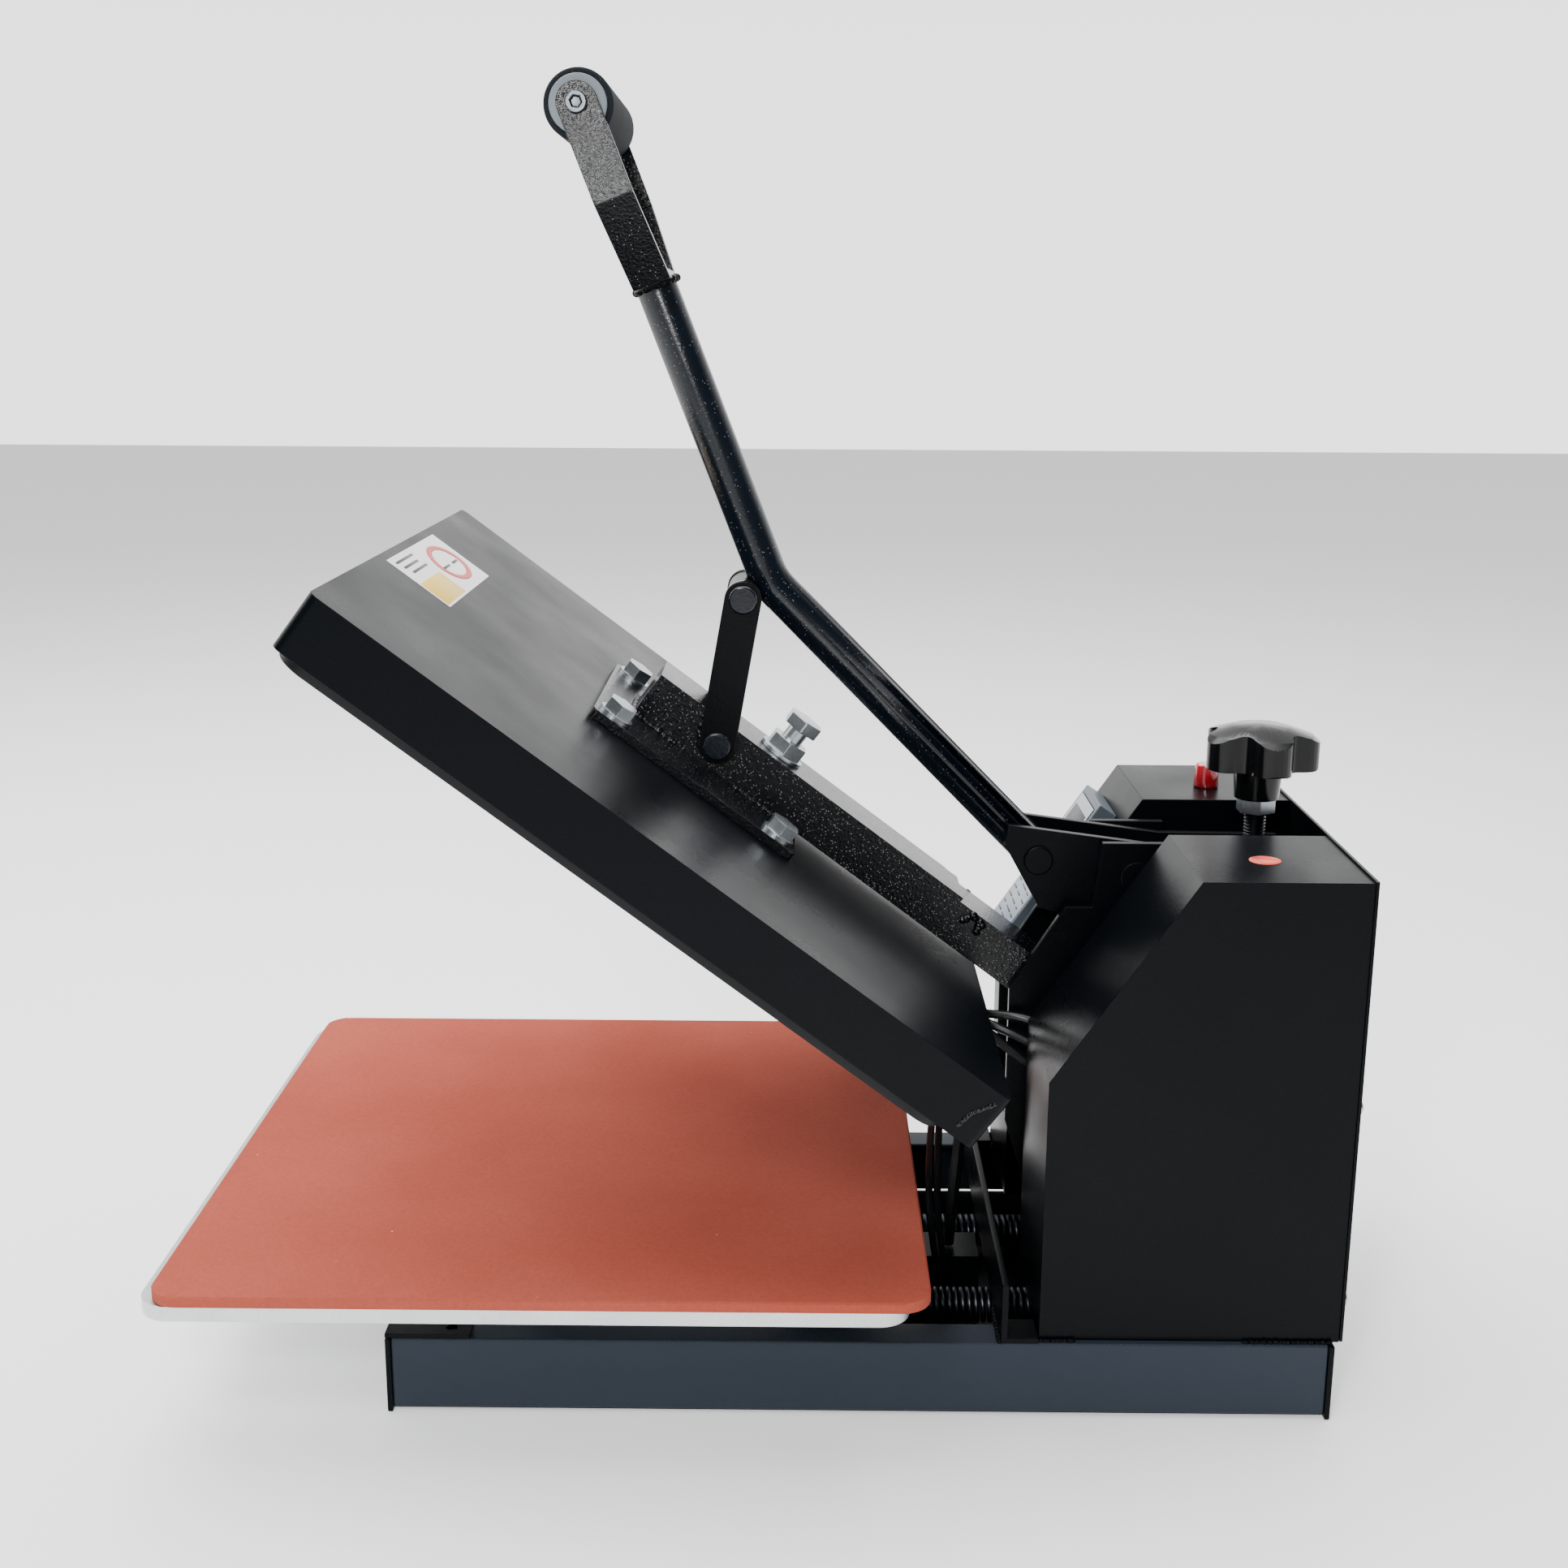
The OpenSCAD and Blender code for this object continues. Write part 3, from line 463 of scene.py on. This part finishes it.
# ---- Lift springs ----
# Two long close-wound pull springs of dark wire lie either side of the beam. They
# are hooked over a peg at the front plate and over a cross rod under the housings.
spring_x, spring_z = 0.045, 0.016
wire_r, coil_r, spring_y0, spring_y1 = 0.0016, 0.0084, -0.058, 0.262
oiled = metal("oiled spring wire", "#4b5055", 0.33, 90.0, 0.05)
turns = 88
bpy.ops.object.select_all(action="DESELECT")
bpy.ops.mesh.primitive_circle_add(vertices=7, radius=wire_r, location=(0, 0, 0))
coil = bpy.context.object
coil.name = "coil_right"
coil.rotation_euler = (math.radians(90), 0, 0)
coil.location = (coil_r, 0, 0)
bpy.ops.object.transform_apply(location=True, rotation=True, scale=True)
wind = coil.modifiers.new("wind", "SCREW")
wind.axis, wind.angle, wind.iterations = "Z", math.radians(360), turns
wind.screw_offset = (spring_y1 - spring_y0) / turns
wind.steps = wind.render_steps = 18
bpy.ops.object.modifier_apply(modifier="wind")
coil.data.transform(Matrix.Translation((spring_x, spring_y0, spring_z))
                    @ Matrix.Rotation(math.radians(-90), 4, "X"))
bpy.ops.object.mode_set(mode="EDIT")
bpy.ops.mesh.select_all(action="SELECT")
bpy.ops.mesh.fill_holes(sides=8)
bpy.ops.mesh.normals_make_consistent(inside=False)
bpy.ops.object.mode_set(mode="OBJECT")
bpy.ops.object.shade_smooth()
coil.data.materials.append(oiled)
other = bpy.data.objects.new("coil_left", coil.data.copy())
bpy.context.scene.collection.objects.link(other)
other.data.transform(Matrix.Translation((-2 * spring_x, 0, 0)))
for piece in (coil, other):
    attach(piece, "base")
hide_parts("lift_springs")
hook_r = 0.0066
for side, hand in ((-1, "l"), (1, "r")):
    for tag, (y0, y1) in {"front": (-0.074, -0.057), "rear": (0.261, 0.2745)}.items():
        bpy.ops.object.select_all(action="DESELECT")
        bpy.ops.mesh.primitive_torus_add(major_radius=hook_r, minor_radius=wire_r,
                                         major_segments=28, minor_segments=8,
                                         location=(side * spring_x, (y0 + y1) / 2, spring_z),
                                         rotation=(0, math.radians(90), 0))
        hook = bpy.context.object
        hook.name = f"hook_{tag}_{hand}"
        hook.scale = (1, 1.15, 1)
        bpy.ops.object.transform_apply(location=True, rotation=True, scale=True)
        bpy.ops.object.shade_smooth()
        hook.data.materials.append(oiled)
        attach(hook, "base")
dressed("pegs", "spring_anchors", "base", 0.0005, zinc)


# ---- Column ----
# Two upright steel plates welded to the base carry the head's hinge pin and the
# rocker's pin. A web joins them at the rear and a shelf takes the screw's foot.
dressed("columns", "column_plates", "base", 0.0006, black_coat)
dressed("column_back", "column_web", "base", 0.0006, black_coat)
dressed("hinge_pin", "head_hinge_pin", "base", 0.0012, black_coat)
dressed("rocker_hinge_pin", "rocker_pin", "base", 0.0012, black_coat)
pin_y, pin_z, pin_seam_r, pin_face_x = 0.307, 0.262, 0.0095, 0.0245
for side, hand in ((-1, "l"), (1, "r")):
    for n in range(3):
        turn = math.radians(20 + n * 120)
        spot = Vector((side * pin_face_x, pin_y + pin_seam_r * math.cos(turn),
                       pin_z + pin_seam_r * math.sin(turn)))
        along = Vector((0, -math.sin(turn), math.cos(turn))) * 0.0035
        bead(f"pin_weld_{n}_{hand}", spot - along, spot + along, 0.0013, "base", black_coat)


# ---- Housings ----
# Two folded sheet steel boxes with sloping fronts stand either side of the column
# and one flat panel closes both at the rear. Pan head screws hold the panel.
dressed("box_right", "housing_right", "base", 0.0022, black_coat, steps=4, angle=40)
dressed("box_left", "housing_left", "base", 0.0010, black_coat, steps=3, angle=40)
dressed("rear_sheet", "rear_panel", "base", 0.0004, black_coat)
dressed("sheet_screws", "rear_screws", "base", 0.0006, zinc, steps=3)


# ---- Round label ----
# A small disc of orange-red paper is stuck flat on the middle of the right
# housing's roof. It is blank.
def film(name, color, rough, grain=300.0):
    made = bpy.data.materials.new(name)
    made.use_nodes = True
    tree = made.node_tree
    body = tree.nodes["Principled BSDF"]
    place = node(tree, "ShaderNodeTexCoord")
    fibre = node(tree, "ShaderNodeTexNoise", [("Vector", place.outputs["Object"]),
                                              ("Scale", grain), ("Detail", 5.0)])
    mix = node(tree, "ShaderNodeMix", data_type="RGBA")
    tree.links.new(fibre.outputs["Fac"], mix.inputs[0])
    mix.inputs[6].default_value = tuple(c * 0.86 for c in paint(color)[:3]) + (1,)
    mix.inputs[7].default_value = paint(color)
    tree.links.new(mix.outputs[2], body.inputs["Base Color"])
    lift = node(tree, "ShaderNodeBump", [("Height", fibre.outputs["Fac"]), ("Strength", 0.1),
                                         ("Distance", 0.0002)])
    tree.links.new(lift.outputs["Normal"], body.inputs["Normal"])
    body.inputs["Roughness"].default_value = rough
    return made


orange_film = film("orange label", "#f0573d", 0.45)
dressed("disc_label", "round_label", "base", 0.0, orange_film)


# ---- Controller ----
# A grey plastic case screwed to the left housing's slope. It has a dark display
# window, three keys and a printed panel of plain rules below them.
roof_z, slope_foot_y, slope_foot_z, slope_top_y = 0.289, 0.250, 0.184, 0.321
slope = math.atan2(roof_z - slope_foot_z, slope_top_y - slope_foot_y)
on_slope = (Matrix.Translation((0, slope_foot_y, slope_foot_z))
            @ Matrix.Rotation(slope, 4, "X"))
grey_plastic = sprayed("grey case plastic", "#4d565f", 0.42, peel_scale=1500.0, bump=0.12,
                       painted_glint_amount=0.0)
light_plastic = sprayed("light key plastic", "#c9ced3", 0.38, peel_scale=1700.0, bump=0.08,
                        painted_glint_amount=0.0)
panel_film = film("printed panel", "#9aa5b0", 0.35)
ink = film("dark ink", "#2b2f36", 0.4)
glass = bpy.data.materials.new("display window")
glass.use_nodes = True
tree = glass.node_tree
pane = tree.nodes["Principled BSDF"]
place = node(tree, "ShaderNodeTexCoord")
smudge = node(tree, "ShaderNodeTexNoise", [("Vector", place.outputs["Object"]),
                                           ("Scale", 60.0), ("Detail", 5.0)])
haze = node(tree, "ShaderNodeMapRange", [("Value", smudge.outputs["Fac"]), ("To Min", 0.05),
                                         ("To Max", 0.22)])
tree.links.new(haze.outputs["Result"], pane.inputs["Roughness"])
pane.inputs["Base Color"].default_value = paint("#3a4653")
pane.inputs["Coat Weight"].default_value = 0.8
pane.inputs["Coat Roughness"].default_value = 0.03
dressed("case", "controller_case", "base", 0.0012, grey_plastic, steps=3)
dressed("window", "controller_window", "base", 0.0004, glass)
for letter in "abc":
    dressed(f"key_{letter}", f"controller_button_{letter}", f"button_{letter}", 0.0006,
            light_plastic, steps=3)


def slab(name, low, high, turn, round_off, look, body):
    """A thin rounded slab between two corners of a turned frame."""
    low, high = Vector(low), Vector(high)
    bpy.ops.object.select_all(action="DESELECT")
    bpy.ops.mesh.primitive_cube_add(size=1, location=(low + high) / 2)
    made = bpy.context.object
    made.name = name
    made.scale = high - low
    bpy.ops.object.transform_apply(location=True, rotation=True, scale=True)
    edge = made.modifiers.new("edge", "BEVEL")
    edge.width, edge.segments = round_off, 2
    bpy.ops.object.modifier_apply(modifier="edge")
    bpy.ops.object.shade_smooth_by_angle(angle=math.radians(35))
    made.data.transform(turn)
    made.data.materials.append(look)
    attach(made, body)
    return made


slab("panel_sheet", (-0.1095, 0.006, 0.0120), (-0.0625, 0.046, 0.0123), on_slope, 0.0001,
     panel_film, "base")
for n, y in enumerate((0.010, 0.0155, 0.021, 0.0265, 0.032, 0.0375)):
    for m, (x0, x1) in enumerate(((-0.107, -0.096), (-0.093, -0.078), (-0.075, -0.065))):
        slab(f"rule_{n}_{m}", (x0, y, 0.01229), (x1 - 0.002 * ((n + m) % 3), y + 0.0011,
                                                  0.01238), on_slope, 0.00003, ink, "base")
slab("digit_strip", (-0.104, 0.083, 0.0125), (-0.068, 0.096, 0.01262), on_slope, 0.00004,
     ink, "base")


# ---- Indicator lamp ----
# A moulded red lens that is pushed into the left housing's roof. It tapers to the
# top, is lighter there, and has a clear gloss.
lens = bpy.data.materials.new("red lens")
lens.use_nodes = True
tree = lens.node_tree
red = tree.nodes["Principled BSDF"]
place = node(tree, "ShaderNodeTexCoord")
depth = node(tree, "ShaderNodeSeparateXYZ", [("Vector", place.outputs["Object"])])
fade = node(tree, "ShaderNodeMapRange", [("Value", depth.outputs["Z"]), ("From Min", roof_z),
                                         ("From Max", roof_z + 0.014)])
hue = node(tree, "ShaderNodeValToRGB", [("Fac", fade.outputs["Result"])])
hue.color_ramp.elements[0].color = paint("#6d0512")
hue.color_ramp.elements[1].color = paint("#e02536")
tree.links.new(hue.outputs["Color"], red.inputs["Base Color"])
red.inputs["Roughness"].default_value = 0.12
red.inputs["Transmission Weight"].default_value = 0.35
red.inputs["Coat Weight"].default_value = 1.0
dressed("lamp_lens", "indicator_lamp", "base", 0.0012, lens, steps=3)


# ---- Rear fittings ----
# A moulded inlet socket, a fuse holder and a red rocker switch in its frame are
# pushed through the rear panel. The inlet has three flat pins.
moulded = sprayed("black moulding", "#15171a", 0.45, peel_scale=1800.0, bump=0.1, painted_glint_amount=0.0)
red_key = sprayed("red key", "#b0202a", 0.3, peel_scale=1500.0, bump=0.05, painted_glint_amount=0.0)
dressed("inlet", "power_inlet", "base", 0.0010, moulded, steps=3)
dressed("switch_frame", "power_switch_frame", "base", 0.0006, moulded)
dressed("switch_key", "power_switch", "switch_key", 0.0008, red_key, steps=3)
dressed("fuse_cap", "fuse_holder", "base", 0.0008, moulded, steps=3)
for n, (x, z) in enumerate(((0.088, 0.0925), (0.0815, 0.0855), (0.0945, 0.0855))):
    slab(f"inlet_pin_{n}", (x - 0.001, 0.392, z - 0.0025), (x + 0.001, 0.404, z + 0.0025),
         Matrix.Identity(4), 0.0003, zinc, "base")
dressed("relay_box", "relay", "base", 0.001, light_plastic)


# ---- Heated head ----
# A folded steel cover, welded at its corners, over an aluminium heating plate coloured
# dark, with a board between them. The plate stands a little below the cover's rim.
board_look = film("insulation board", "#d8d0ba", 0.8, 120.0)
dressed("cover", "head_cover", "head", 0.0020, black_coat, steps=4, angle=40)
# The heating plate's colour is set dark
dark_plate_look = sprayed("dark heating plate colour", "#131416", 0.5, peel_scale=1600.0, bump=0.1, painted_glint_amount=0.0,
                   shine=0.2)
dressed("hot_plate", "heating_plate", "head", 0.0007, dark_plate_look)
dressed("heater_loop", "heating_element", "head", 0.001, zinc)
dressed("board", "insulation_board", "head", 0.0, board_look)
hinge, open_angle = Vector((0, 0.31675, 0.13225)), math.radians(36.87)
opened = (Matrix.Translation(hinge) @ Matrix.Rotation(-open_angle, 4, "X")
          @ Matrix.Translation(-hinge))


def head_bead(name, side_x, start, end, radius):
    """A bead on the head, from one (y, z) point of the closed head to another."""
    bead(name, opened @ Vector((side_x, *start)), opened @ Vector((side_x, *end)), radius,
         "head", rough_coat)


cover_side_x = 0.1943
for side, hand in ((-1, "l"), (1, "r")):
    for n, (start, end) in enumerate((((0.1876, 0.1080), (0.1890, 0.1165)),
                                      ((0.1890, 0.1165), (0.1948, 0.1262)))):
        head_bead(f"cover_weld_{n}_{hand}", side * cover_side_x, start, end, 0.0012)


# ---- Caution label ----
# A white glossy film stuck on the cover near its front right. It carries a plain
# ring and a yellow field, with no lettering.
white_film = film("white label", "#f3f3f1", 0.35)
yellow_film = film("yellow label", "#f1c62c", 0.35)
red_film = film("red label", "#d3352f", 0.35)
dressed("warning_film", "caution_label", "head", 0.0, white_film)
film_z, print_z = 0.13222, 0.13230
slab("yellow_field", (0.001, -0.1665, film_z), (0.0520, -0.1490, print_z), opened, 0.00003,
     yellow_film, "head")
bpy.ops.object.select_all(action="DESELECT")
bpy.ops.mesh.primitive_torus_add(major_radius=0.0125, minor_radius=0.0018,
                                 major_segments=40, minor_segments=6,
                                 location=(-0.0345, -0.1675, film_z))
ring = bpy.context.object
ring.name = "red_ring"
ring.scale = (1.9, 1, 0.06)
bpy.ops.object.transform_apply(location=True, rotation=True, scale=True)
ring.data.transform(opened)
bpy.ops.object.shade_smooth()
ring.data.materials.append(red_film)
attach(ring, "head")
for n, (x0, x1, y) in enumerate(((0.006, 0.047, -0.1835), (0.010, 0.044, -0.1790),
                                 (0.004, 0.040, -0.1745), (-0.030, -0.012, -0.1670),
                                 (-0.052, -0.038, -0.1670))):
    slab(f"grey_rule_{n}", (x0, y, film_z), (x1, y + 0.0016, print_z), opened, 0.00003,
         ink, "head")


# ---- Lifting arm ----
# A rectangular steel tube welded to a base plate that four flange bolts hold down
# on the cover. A big bolt and nut at its middle level the plate. The rear end is
# welded to the hinge bush.
dressed("arm_foot", "arm_plate", "head", 0.0010, rough_coat)
dressed("arm_tube", "lifting_arm", "head", 0.0022, rough_coat, steps=3)
dressed("arm_bush", "arm_hinge", "head", 0.0008, black_coat)
dressed("foot_bolts", "arm_plate_bolts", "head", 0.0006, zinc, steps=3)
dressed("level_bolt", "centre_bolt", "head", 0.0007, zinc, steps=3)
dressed("level_nut", "centre_nut", "head", 0.0007, zinc, steps=3)
plate_top_z, foot_seam_x, arm_side_x = 0.1375, 0.0216, 0.0212
for side, hand in ((-1, "l"), (1, "r")):
    for n, (y0, y1) in enumerate(((-0.036, -0.012), (0.028, 0.066))):
        head_bead(f"foot_weld_{n}_{hand}", side * foot_seam_x, (y0, plate_top_z),
                  (y1, plate_top_z), 0.0018)
    for n, (start, end, radius) in enumerate((
            ((-0.006, 0.1535), (0.002, 0.1555), 0.0022),
            ((-0.004, 0.1500), (0.000, 0.1450), 0.0020),
            ((0.173, 0.1532), (0.1762, 0.1583), 0.0024),
            ((0.176, 0.1583), (0.1837, 0.1572), 0.0021),
            ((0.182, 0.1560), (0.1835, 0.1520), 0.0022))):
        head_bead(f"arm_weld_{n}_{hand}", side * arm_side_x, start, end, radius)
bead("foot_weld_front", opened @ Vector((-0.019, -0.0395, plate_top_z)),
     opened @ Vector((0.019, -0.0395, plate_top_z)), 0.0018, "head", rough_coat)


# ---- Rocker ----
# Two flat steel plates turn on the column's pin. They carry the handle's pin at the
# front and a drilled bar for the pressure screw at the rear.
dressed("rocker_sides", "rocker_plates", "base", 0.0006, black_coat)
dressed("rocker_bar", "rocker_nut_bar", "base", 0.0008, black_coat)
dressed("handle_pin", "handle_pivot_pin", "base", 0.0010, black_coat, steps=3)


# ---- Pressure screw ----
# A threaded M12 rod with a moulded five-lobe knob, locked by a nut. The thread is
# rolled and the nut is zinc plated.
thread_z0, thread_z1, thread_pitch = 0.2443, 0.2935, 0.00175
root_r, crest_r, screw_y = 0.0052, 0.0060, 0.376
screw_steel = metal("blackened screw steel", "#3a3d40", 0.3, 80.0, 0.05)
bpy.ops.object.select_all(action="DESELECT")
bpy.ops.mesh.primitive_circle_add(vertices=3, radius=0.0001, location=(0, 0, 0))
rod = bpy.context.object
rod.name = "screw_rod"
profile = bmesh.new()
steps = int((thread_z1 - thread_z0) / thread_pitch)
row = [profile.verts.new((radius, 0, thread_pitch * share))
       for radius, share in ((root_r, 0), (crest_r, 0.4), (crest_r, 0.6), (root_r, 1))]
for a, b in zip(row, row[1:]):
    profile.edges.new((a, b))
profile.to_mesh(rod.data)
profile.free()
wind = rod.modifiers.new("wind", "SCREW")
wind.axis, wind.angle, wind.iterations = "Z", math.radians(360), steps
wind.screw_offset, wind.steps, wind.render_steps = thread_pitch, 24, 24
wind.use_merge_vertices, wind.merge_threshold = True, 0.00001
bpy.ops.object.modifier_apply(modifier="wind")
rod.data.transform(Matrix.Translation((0, screw_y, thread_z0)))
bpy.ops.object.mode_set(mode="EDIT")
bpy.ops.mesh.select_all(action="SELECT")
bpy.ops.mesh.remove_doubles(threshold=0.00001)
bpy.ops.mesh.normals_make_consistent(inside=False)
bpy.ops.object.mode_set(mode="OBJECT")
bpy.ops.object.shade_smooth_by_angle(angle=math.radians(25))
rod.data.materials.append(screw_steel)
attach(rod, "screw")
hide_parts("pressure_screw")
dressed("locking_nut", "lock_nut", "screw", 0.0007, zinc, steps=3)
bakelite = sprayed("knob moulding", "#08090a", 0.16, peel_scale=120.0, bump=0.05, painted_glint_amount=0.0,
                   shine=0.3)
dressed("knob", "star_knob", "screw", 0.0022, bakelite, steps=4, angle=22)


# ---- Handle ----
# A bent steel tube with a cross bush at its foot and another under its bend. A flat
# bar fork welded to its top holds the roller grip.
tube_coat = sprayed("gloss tube coat", "#0a1119", 0.2, peel_scale=520.0, bump=0.35,
                    painted_glint_amount=0.22, shine=0.5, depth=0.0003)
dressed("handle_bar", "handle_tube", "handle", 0.0, tube_coat)
dressed("handle_bushes", "handle_sleeves", "handle", 0.0008, black_coat)
dressed("fork", "grip_fork", "handle", 0.0008, rough_coat)
dark_screw = metal("blackened screw", "#4c5054", 0.3, 60.0, 0.05)
dressed("fork_screws", "grip_axle", "handle", 0.0006, dark_screw)
lean = math.radians(21.3)
up = Vector((0, -math.sin(lean), math.cos(lean)))
across = Vector((0, math.cos(lean), math.sin(lean)))
neck = Vector((0, 0.10797, 0.41775)) + up * 0.1645
neck_seam_r, neck_beads = 0.0110, 10
ring_points = [neck + (across * math.cos(turn) + Vector((1, 0, 0)) * math.sin(turn)) * neck_seam_r
               for turn in (math.tau * n / neck_beads for n in range(neck_beads + 1))]
for n, (start, end) in enumerate(zip(ring_points, ring_points[1:])):
    bead(f"neck_weld_{n}", start, end, 0.0022, "handle", black_coat)


# ---- Roller grip ----
# A rubber sleeve that turns freely on the fork's long screw, with a pressed grey
# plastic disc in each end.
grip_rubber = sprayed("grip rubber", "#1b1f23", 0.8, peel_scale=1300.0, bump=0.25,
                      painted_glint_amount=0.05, shine=0.1)
grip_disc = sprayed("grip disc plastic", "#6c757c", 0.5, peel_scale=1200.0, bump=0.12,
                    painted_glint_amount=0.0)
dressed("sleeve", "grip_roller", "grip", 0.0018, grip_rubber, steps=4)
dressed("discs", "grip_caps", "grip", 0.0007, grip_disc, steps=3)


# ---- Links ----
# Two flat steel bars with round ends join the bush under the handle's bend to the
# lifting arm. Their pins are welded over at the outside.
link_coat = sprayed("link coat", "#06080b", 0.25, peel_scale=620.0, bump=0.4, painted_glint_amount=0.35,
                    shine=0.12, depth=0.0003)
dressed("link_bars", "links", "link", 0.0007, link_coat)
dressed("link_pins_heads", "link_pins", "link", 0.0012, tube_coat, steps=3)


# ---- Cables behind the head ----
# Black sheathed cables run from the head's rear into the right housing, and others
# drop to the base.
sheath = sprayed("cable sheath", "#0d0f11", 0.35, peel_scale=2200.0, bump=0.1, painted_glint_amount=0.0)


def flex(name, part, fixed, look):
    made = dressed(name, part, fixed, 0.0, look)
    made.parent = None
    made.matrix_world = Matrix.Identity(4)
    del made["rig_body"]
    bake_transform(made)
    return made


flex("housing_cables", "head_cables", "base",
     sheath)
flex("dropped_cables", "drop_cables", "base",
     sheath)
dressed("gland", "cable_gland", "head", 0.0005, moulded)
